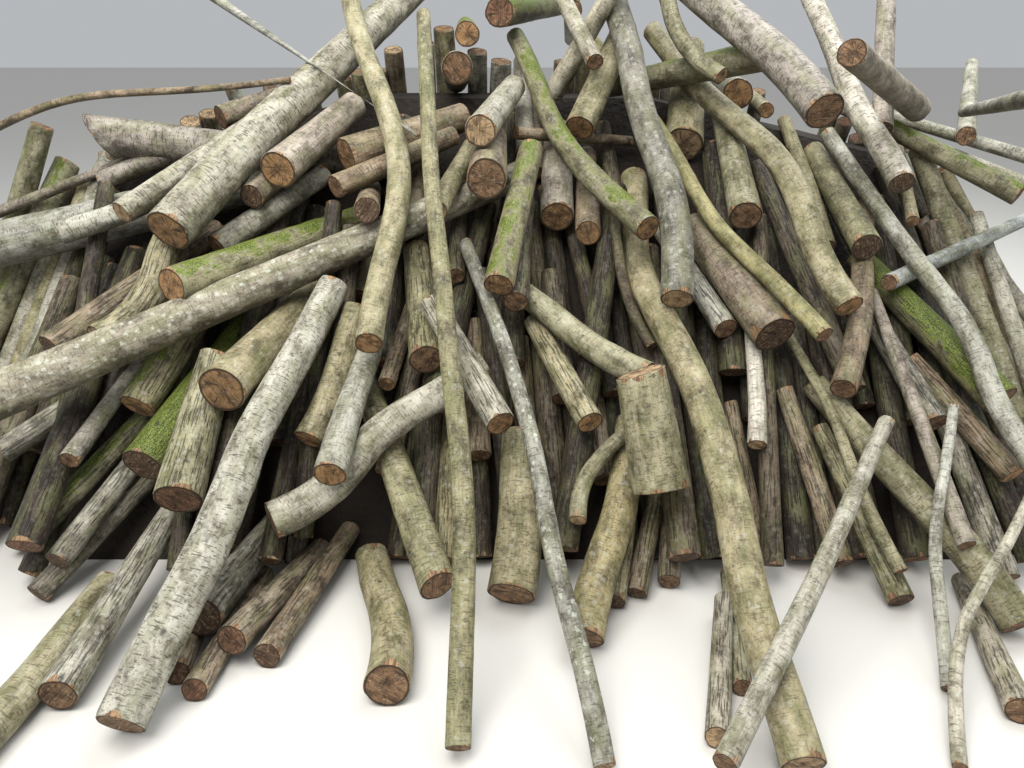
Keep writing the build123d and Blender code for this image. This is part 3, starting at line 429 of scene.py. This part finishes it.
def along_line(line, radii, s):
    """Points, directions and radii at the lengths s along a smooth curve through the line: on each
    stretch the cubic that meets both points in the directions of their neighbours."""
    chord = np.concatenate([[0], np.cumsum(np.linalg.norm(np.diff(line, axis=0), axis=1))])
    slope = np.gradient(line, chord, axis=0, edge_order=2 if len(line) > 2 else 1)
    k = np.clip(np.searchsorted(chord, s, side="right") - 1, 0, len(chord) - 2)
    width = (chord[k + 1] - chord[k])
    t = ((s - chord[k]) / width)[:, None]
    h = width[:, None]
    spots = ((2 * t ** 3 - 3 * t ** 2 + 1) * line[k] + (t ** 3 - 2 * t ** 2 + t) * h * slope[k]
             + (3 * t ** 2 - 2 * t ** 3) * line[k + 1] + (t ** 3 - t ** 2) * h * slope[k + 1])
    ahead = ((6 * t ** 2 - 6 * t) * line[k] / h + (3 * t ** 2 - 4 * t + 1) * slope[k]
             + (6 * t - 6 * t ** 2) * line[k + 1] / h + (3 * t ** 2 - 2 * t) * slope[k + 1])
    return spots, unit(ahead), np.interp(s, chord, radii)


def swells(turn, s, chance, waves, round_waves, length):
    """Soft swells over a skin: a sum of seeded cosines of the turn and the length, about -1 to 1."""
    total = 0
    for _ in range(waves):
        around = chance.integers(1, round_waves + 1)
        phase, twist = chance.uniform(0, 2 * math.pi), chance.uniform(-2 * math.pi, 2 * math.pi)
        total = total + np.cos(around * turn + twist * s / length + phase)
    return total / math.sqrt(waves)


Finish = namedtuple("Finish", "light dark moss lichen sawn")
# The skin's rows near a sawn edge, in metres from it, and the rings of a face as shares of its
# radius: many where it is seen close, few on the thin ends of plain logs. A ring is slid towards
# the slant of the cut from FADE_REACH radii away.
EDGE_ROWS = [0, 0.0016, 0.005, 0.010, 0.017, 0.027]
FINE_FACE = [0.975, 0.92, 0.84, 0.7, 0.52, 0.34, 0.16]
PLAIN_FACE = [0.9, 0.5]
FINE_PITCH = 0.02
FADE_REACH = 1.4
# Swells and knots as shares of the log's radius; a knot's place as a share of its length.
LONG_SWELL, SHORT_SWELL = (0.5, 0.35), (0.22, 0.08)
KNOT_PLACE, KNOT_SIZE = (0.06, 0.94), (0.18, 0.42)
KNOT_HEIGHT, KNOT_DIMPLE = 0.20, 0.10
TORN_DEPTH, RIM_DROP = 0.035, 0.03
PITH_OFF = 0.2
# Metres: how softly torn bark ends, and the depth and spacing of the saw's marks each way.
TORN_SOFT = 0.0015
SAW_DEPTH, SAW_SPACING = (0.0011, 0.0010), ((0.02, 0.05), (0.03, 0.07))


def log_skin(shape, finish, chance, columns, pitch, knots, uneven, tear):
    """A closed skin: rings of points round the middle line, moved in and out by swells and
    knots, each ring near an end slid onto the sawn plane, and rings inside it for the face.
    A knot is a low bell curve with a dimple at its top; saw marks are shallow crossing sines."""
    line, radii = shape.line, shape.radii
    length = np.linalg.norm(np.diff(line, axis=0), axis=1).sum()
    near = np.array(EDGE_ROWS)
    near = near[near < length * 0.3]
    inner = np.linspace(near[-1], length - near[-1], max(int((length - 2 * near[-1]) / pitch), 2) + 1)
    s = np.concatenate([near[:-1], inner, (length - near[:-1])[::-1]])
    spots, ahead, radius = along_line(line, radii, s)
    loose = line - line.mean(axis=0)
    if len(line) > 3:
        beside = unit(np.linalg.svd(loose)[2][2])
    else:
        beside = unit(np.cross(ahead[0], [0.2, 0.1, 0.97]))
    beside = unit(beside - ahead * (ahead @ beside)[:, None])
    outward = np.cross(ahead, beside)
    turn = np.linspace(0, 2 * math.pi, columns, endpoint=False)
    spin = chance.uniform(0, 2 * math.pi)
    round_way = (np.cos(turn)[None, :, None] * outward[:, None, :]
                 + np.sin(turn)[None, :, None] * beside[:, None, :])

    around, lengths = np.meshgrid(turn, s)
    relief = uneven * LONG_SWELL[0] * swells(around, lengths, chance, 7, 3, LONG_SWELL[1])
    relief = relief + uneven * SHORT_SWELL[0] * swells(around, lengths, chance, 9, 9, SHORT_SWELL[1])
    knot_mark = np.zeros_like(around)
    for _ in range(knots):
        place, way = chance.uniform(*KNOT_PLACE) * length, chance.uniform(0, 2 * math.pi)
        size = chance.uniform(*KNOT_SIZE) * radius.mean()
        apart = np.abs((around - way + math.pi) % (2 * math.pi) - math.pi) * radius[:, None]
        far = np.sqrt(apart ** 2 + (0.75 * (lengths - place)) ** 2) / size
        bell = KNOT_HEIGHT * np.exp(-far ** 2) - KNOT_DIMPLE * np.exp(-(2.6 * far) ** 2)
        relief = relief + bell * size / radius.mean()
        knot_mark = np.maximum(knot_mark, np.exp(-(1.9 * far) ** 2))
    edge = np.minimum(lengths, length - lengths)
    ragged = np.clip(swells(turn, 0 * turn, chance, 6, 7, 1.0), -1.5, 1.5)
    torn = 1 / (1 + np.exp(np.clip((edge - tear * np.maximum(ragged, 0)[None, :]) / TORN_SOFT, -30, 30)))
    torn = np.where((ragged > 0.25)[None, :], torn, 0)
    relief = relief - torn * TORN_DEPTH - np.where(edge < EDGE_ROWS[1] / 2, RIM_DROP, 0)
    grid_radius = radius[:, None] * (1 + relief)
    skin = spots[:, None, :] + round_way * grid_radius[:, :, None]

    for from_end, facing, row in ((lengths, shape.butt_facing, 0), (length - lengths, shape.tip_facing, -1)):
        slide = -(round_way[row] @ facing) / (ahead[row] @ facing)
        fade = np.clip(1 - from_end / (FADE_REACH * radius[row]), 0, 1)
        skin += (fade * slide[None, :] * grid_radius)[:, :, None] * ahead[:, None, :]
    grain = np.stack([np.cos(around + spin) * radius.mean(), np.sin(around + spin) * radius.mean(), lengths],
                     axis=-1)
    rows = len(s)
    count = rows * columns
    points, places, shares = [skin.reshape(-1, 3)], [grain.reshape(-1, 3)], [np.ones(count)]
    knot_marks, torn_marks = [knot_mark.ravel()], [torn.ravel()]
    index = np.arange(count).reshape(rows, columns)
    after = np.roll(index, -1, axis=1)
    faces = [np.stack([index[:-1], after[:-1], after[1:], index[1:]], axis=-1).reshape(-1, 4)]
    kinds = [np.zeros(len(faces[0]), int)]
    next_index = count
    fans = []
    for end, facing, row in ((0, shape.butt_facing, 0), (1, shape.tip_facing, -1)):
        rings = np.array(FINE_FACE if end == 0 or pitch < FINE_PITCH else PLAIN_FACE)
        centre = spots[row]
        reach = skin[row] - centre
        flat = reach[None, :, :] * rings[:, None, None]
        x = grain[row][None, :, 0] * rings[:, None]
        y = grain[row][None, :, 1] * rings[:, None]
        saw = SAW_DEPTH[0] * np.sin(x * 2 * math.pi / chance.uniform(*SAW_SPACING[0]) + chance.uniform(0, 6))
        saw = saw + SAW_DEPTH[1] * np.sin(y * 2 * math.pi / chance.uniform(*SAW_SPACING[1]) + x * 60)
        flat = flat + (saw * (1 - rings[:, None] ** 4))[:, :, None] * facing
        ring_index = next_index + np.arange(len(rings) * columns).reshape(len(rings), columns)
        points += [(centre + flat).reshape(-1, 3), centre[None, :]]
        z = np.full(x.size, 0.0 if end == 0 else length)
        places += [np.column_stack([x.ravel(), y.ravel(), z]), np.array([[0, 0, z[0]]])]
        shares += [np.repeat(rings, columns), np.zeros(1)]
        knot_marks.append(np.zeros(x.size + 1))
        torn_marks.append(np.zeros(x.size + 1))
        outer = np.concatenate([index[row][None, :], ring_index])
        beyond = np.roll(outer, -1, axis=1)
        quads = np.stack([outer[:-1], outer[1:], beyond[1:], beyond[:-1]], axis=-1).reshape(-1, 4)
        tip_index = next_index + ring_index.size
        fan = np.column_stack([ring_index[-1], np.full(columns, tip_index), np.roll(ring_index[-1], -1)])
        if end == 1:
            quads, fan = quads[:, ::-1], fan[:, ::-1]
        faces.append(quads)
        kinds.append(np.ones(len(quads), int))
        fans.append(fan)
        next_index = tip_index + 1
    points, places = np.concatenate(points), np.concatenate(places)
    pith = np.append(chance.uniform(-PITH_OFF, PITH_OFF, 2) * radius[0], 0)
    total = len(points)
    shift = chance.uniform(-5, 5, 3) * [0, 0, 1]
    attributes = {
        "grain": places + shift, "pith": np.tile(pith + shift, (total, 1)),
        "share": np.concatenate(shares),
        "marks": np.column_stack([np.full(total, finish.moss), np.full(total, finish.lichen),
                                  np.concatenate(torn_marks), np.concatenate(knot_marks)]),
        **{key: np.tile(getattr(finish, key), (total, 1)) for key in ("light", "dark", "sawn")},
    }
    return points, np.concatenate(faces), np.concatenate(fans), np.concatenate(kinds), attributes


FLOATS = {"grain": "FLOAT_VECTOR", "pith": "FLOAT_VECTOR", "share": "FLOAT", "marks": "FLOAT_COLOR",
          "light": "FLOAT_COLOR", "dark": "FLOAT_COLOR", "sawn": "FLOAT_COLOR"}


def wooden_piece(name, skins, bark, sawn):
    """One mesh object from the skins of a node's logs."""
    points, quads, fans, kinds = [], [], [], []
    start = 0
    for spots, faces, fan, kind, _ in skins:
        points.append(spots)
        quads.append(faces + start)
        fans.append(fan + start)
        kinds.append(kind)
        start += len(spots)
    points, quads, fans = np.concatenate(points), np.concatenate(quads), np.concatenate(fans)
    mesh = bpy.data.meshes.new(name)
    mesh.vertices.add(len(points))
    mesh.vertices.foreach_set("co", points.astype(np.float32).ravel())
    loops = np.concatenate([quads.ravel(), fans.ravel()]).astype(np.int32)
    starts = np.concatenate([np.arange(len(quads)) * 4, len(quads) * 4 + np.arange(len(fans)) * 3])
    mesh.loops.add(len(loops))
    mesh.loops.foreach_set("vertex_index", loops)
    mesh.polygons.add(len(starts))
    mesh.polygons.foreach_set("loop_start", starts.astype(np.int32))
    kinds = np.concatenate([np.concatenate(kinds), np.ones(len(fans), int)]).astype(np.int32)
    mesh.materials.append(bark)
    mesh.materials.append(sawn)
    mesh.polygons.foreach_set("material_index", kinds)
    mesh.polygons.foreach_set("use_smooth", np.ones(len(starts), bool))
    for key, kind in FLOATS.items():
        values = np.concatenate([skin[4][key] for skin in skins]).astype(np.float32)
        layer = mesh.attributes.new(key, kind, "POINT")
        field = "value" if kind == "FLOAT" else "vector" if kind == "FLOAT_VECTOR" else "color"
        layer.data.foreach_set(field, values.ravel())
    mesh.update()
    mesh.validate()
    piece = bpy.data.objects.new(name, mesh)
    bpy.context.scene.collection.objects.link(piece)
    return piece


BARKS = {
    "white_bark": bark_matter("silver_birch_bark", 0.9, 0.1, 0.35),
    "grey_bark": bark_matter("grey_alder_bark", 0.7, 0.2, 0.1),
    "green_bark": bark_matter("green_hazel_bark", 0.55, 0.15, 0.08),
    "brown_bark": bark_matter("brown_weathered_bark", 0.3, 0.8, 0.2),
}
SAWN = sawn_matter()

# The looks of bark and of sawn faces: light and dark tone, then how much moss and lichen.
BARK_LOOKS = {
    "silver": ("#c2bfb0", "#6b6656", 0.0, 0.45),
    "white": ("#dedcd3", "#918c7f", 0.0, 0.45),
    "green": ("#ada687", "#5e593e", 0.1, 0.35),
    "olive": ("#a39b76", "#56503a", 0.15, 0.35),
    "yellow": ("#b5ac7c", "#6c663f", 0.05, 0.3),
    "grey": ("#a6a192", "#545045", 0.0, 0.45),
    "blue": ("#b0b3ae", "#62645d", 0.0, 0.4),
    "brown": ("#9c8c76", "#483d30", 0.05, 0.25),
    "dark": ("#6f6453", "#2e261e", 0.1, 0.15),
    # This look is painted shade: near-black bark for logs deep in the gaps.
    "shade": ("#463c30", "#1c1712", 0.0, 0.1),
    "pink": ("#b0a699", "#5f564c", 0.0, 0.35),
    "mossy": ("#9c9678", "#4f4b36", 0.75, 0.3),
    "thick_moss": ("#85805c", "#43402a", 1.0, 0.1),
    "crusty": ("#b0ac9c", "#5a5548", 0.0, 0.75),
}
SAWN_LOOKS = {
    "orange": "#a07a50", "red": "#75503c", "tan": "#b89b76", "dark": "#533d2e", "brown": "#85654a",
    "pale": "#c6b08f",
}


# No two logs are alike: how much warmer, lighter or darker each may be than its look says.
WARMER = (-0.03, 0.07)
BARK_SHADE = (0.85, 1.15)
SAWN_SHADE = (0.8, 1.15)


def dress(node, slot, looks, columns=40, pitch=0.02, knots=2.5, uneven=0.03, tear=0.012, forks=0):
    """Gives a node its wooden piece: one skin for each of its solids, in the named looks (bark,
    then sawn face). Pitch is the rings' spacing, and knots are as many to the metre."""
    chance = np.random.default_rng([ord(letter) for letter in node])
    skins = []
    for number, (spots, tris) in enumerate(solids_of(node)):
        bark, sawn = looks[number % len(looks)].split()
        light, dark, moss, lichen = BARK_LOOKS[bark]
        tint = 1 + chance.uniform(*WARMER) * np.array([1, 0.1, -1])
        tint = np.append(tint * chance.uniform(*BARK_SHADE), 1)
        sawn_tint = np.append(np.full(3, chance.uniform(*SAWN_SHADE)), 1)
        finish = Finish(np.array(linear(light)) * tint, np.array(linear(dark)) * tint, moss, lichen,
                        np.array(linear(SAWN_LOOKS[sawn])) * sawn_tint)
        butt, tip, *others = flat_ends(spots, tris)
        trunk = middle_line(spots, tris, butt, tip)
        if forks:
            trunk = Shape(np.linspace(butt[0], tip[0], 3), np.linspace(butt[2], tip[2], 3), butt[1], tip[1])
        for shape in [trunk, *(fork_line(spots, tris, end, trunk.line) for end in others[:forks])]:
            length = np.linalg.norm(np.diff(shape.line, axis=0), axis=1).sum()
            skins.append(log_skin(shape, finish, chance, columns, pitch,
                                  chance.poisson(knots * length), uneven, tear))
    piece = wooden_piece(node + "_wood", skins, BARKS[slot], SAWN)
    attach(piece, "root")
    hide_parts(node)
    return piece


# Logs deep in the gaps, at both ends and at the back, laid against one another from the ground to
# the ridge. They are weathered alder and birch, seen whole only from the sides.
# The front ones take the near-black painted shade look and other dark tones, painted shade deep in the gaps.
for node in ("front_foot_logs", "front_upper_logs"):
    dress(node, "brown_bark", ["shade dark", "shade red", "dark dark", "shade brown"], 20, 0.055)
for node in ("back_logs_lower", "back_logs_upper", "left_end_logs", "right_end_logs"):
    dress(node, "grey_bark", ["silver brown", "green orange", "grey red", "brown tan", "silver tan",
                              "olive brown", "mossy dark"], 28, 0.038)

# Short butts low in the heap, half in the dark: old alder and birch with browned sawn faces and
# some moss on their backs, wedged among the foot logs by the weight above.
dress("left_low_logs", "brown_bark", ["thick_moss dark", "grey dark", "brown red", "brown dark", "grey dark",
                                      "mossy dark", "grey brown", "grey dark", "silver brown"])
dress("right_low_logs", "brown_bark", ["thick_moss brown", "brown orange", "grey brown", "grey brown",
                                       "olive dark", "brown dark", "grey red", "brown orange", "silver tan",
                                       "green brown"])
dress("centre_low_logs", "brown_bark", ["brown orange", "olive brown", "brown orange", "dark orange",
                                        "dark brown", "brown dark", "brown brown", "green dark"])

# Butts in the middle of the front, pointing at whoever stands before the heap: sawn birch, hazel
# and alder, most with a freshly browned face, held by the logs that lie on them.
dress("centre_butt_logs", "brown_bark", ["brown orange", "brown orange", "dark brown", "dark brown",
                                         "brown orange", "olive brown", "silver orange", "green orange"])
dress("left_butt_logs", "brown_bark", ["brown dark", "mossy orange", "green red", "brown red", "brown red"])
dress("right_butt_logs", "brown_bark", ["silver brown"])
dress("thick_left_logs", "green_bark", ["mossy orange", "green orange"], 48, 0.016)
dress("thick_split_log", "grey_bark", ["brown dark"], 56, 0.016, tear=0.02)

# The crown: stubby lengths of birch and alder round the top of the heap, thrown up by hand and
# lying loose on the ridge.
dress("crown_butt_logs", "grey_bark", ["brown dark", "brown dark", "brown orange", "pink orange",
                                       "brown brown", "brown orange", "silver orange", "silver brown",
                                       "mossy orange", "thick_moss red", "grey brown", "silver brown",
                                       "silver brown"])
dress("crown_left_logs", "grey_bark", ["brown brown", "brown orange", "pink orange", "brown dark",
                                       "grey brown", "brown red", "brown dark"])
dress("crown_right_logs", "grey_bark", ["silver orange", "green orange", "green tan", "green brown",
                                        "pink dark", "pink brown", "olive dark", "silver brown"])
dress("crown_short_logs", "grey_bark", ["green tan", "silver tan", "green orange"])
dress("cross_right_log", "grey_bark", ["mossy orange"])
dress("far_right_logs", "grey_bark", ["mossy brown", "grey brown", "silver brown", "silver tan"])

# Logs and branches that lie on the butts: limbs of birch and alder with their bark on, one
# forked and one split along, each resting on others near both ends.
dress("far_left_logs", "grey_bark", ["silver brown", "pink dark", "green brown"], 48, 0.018)
dress("forked_left_log", "white_bark", ["pink red"], 48, 0.016, forks=2)
dress("slim_left_logs", "white_bark", ["silver tan", "silver tan"], 40, 0.016)
dress("steep_left_logs", "grey_bark", ["green orange", "silver orange"], 48, 0.014)
dress("curved_left_log", "brown_bark", ["green tan"], 48, 0.014)
dress("hollow_split_log", "grey_bark", ["silver brown"], 48, 0.014)
dress("right_short_logs", "grey_bark", ["white tan", "green brown", "brown brown"], 36, 0.014)
dress("grey_cross_log", "grey_bark", ["blue brown"], 32, 0.014)
dress("right_thin_poles", "grey_bark", ["pink brown", "green brown"], 28, 0.014)
dress("right_foot_log", "grey_bark", ["green brown"], 48, 0.016)
dress("mossy_steep_log", "green_bark", ["mossy orange"], 44, 0.014)
dress("round_green_log", "green_bark", ["green tan"], 44, 0.014)
dress("kinked_foot_log", "grey_bark", ["olive brown"], 44, 0.016)
dress("forked_foot_log", "grey_bark", ["olive brown"], 44, 0.016)
dress("small_branches", "grey_bark", ["grey brown", "dark dark", "brown brown", "green brown", "green tan"],
      28, 0.014)

# The big logs on top of all, whose sawn feet stand out from the heap: green-skinned alder and
# silver birch up to two metres long, which lean on the heap by their own weight.
dress("thick_foot_log", "grey_bark", ["green tan"], 64, 0.012, tear=0.018)
dress("centre_foot_log", "grey_bark", ["green brown"], 60, 0.012, tear=0.016)
dress("split_foot_log", "grey_bark", ["green brown"], 56, 0.012, tear=0.018)
dress("bevelled_trunk", "green_bark", ["green tan"], 52, 0.012)
dress("long_left_birch", "white_bark", ["silver brown"], 56, 0.012, uneven=0.035)
dress("long_cross_log", "green_bark", ["crusty brown"], 56, 0.012, uneven=0.04)
dress("notched_birch", "white_bark", ["silver orange"], 64, 0.010, knots=4, uneven=0.04)
dress("arm_green_log", "green_bark", ["mossy orange"], 44, 0.012)
dress("green_mossed_log", "green_bark", ["green orange"], 48, 0.012)
dress("pinkish_birch", "white_bark", ["pink brown"], 56, 0.014)
dress("white_bark_log", "white_bark", ["white dark"], 48, 0.012)
dress("yellow_green_pole", "green_bark", ["yellow brown"], 36, 0.014)
dress("right_curved_pole", "grey_bark", ["silver brown"], 36, 0.014)
dress("grey_trunk", "green_bark", ["grey tan"], 52, 0.012)
dress("top_curved_branch", "grey_bark", ["green tan"], 36, 0.014)

# The poles and branches thrown on last, over everything else: slim hazel and birch, trimmed of
# their twigs, crusted with lichen where they are oldest.
dress("curved_green_pole", "green_bark", ["green orange"], 48, 0.012)
dress("blue_grey_pole", "grey_bark", ["blue tan"], 32, 0.014)
dress("thin_top_branch", "grey_bark", ["brown brown"], 24, 0.016)
dress("lichen_pole", "grey_bark", ["crusty tan"], 36, 0.012, knots=5, uneven=0.05)
dress("tall_centre_pole", "grey_bark", ["olive brown"], 36, 0.014)
dress("straight_pale_pole", "grey_bark", ["silver brown"], 36, 0.014)
dress("long_green_branch", "green_bark", ["yellow brown"], 28, 0.014)
dress("right_front_branches", "grey_bark", ["silver brown", "silver brown"], 28, 0.014)
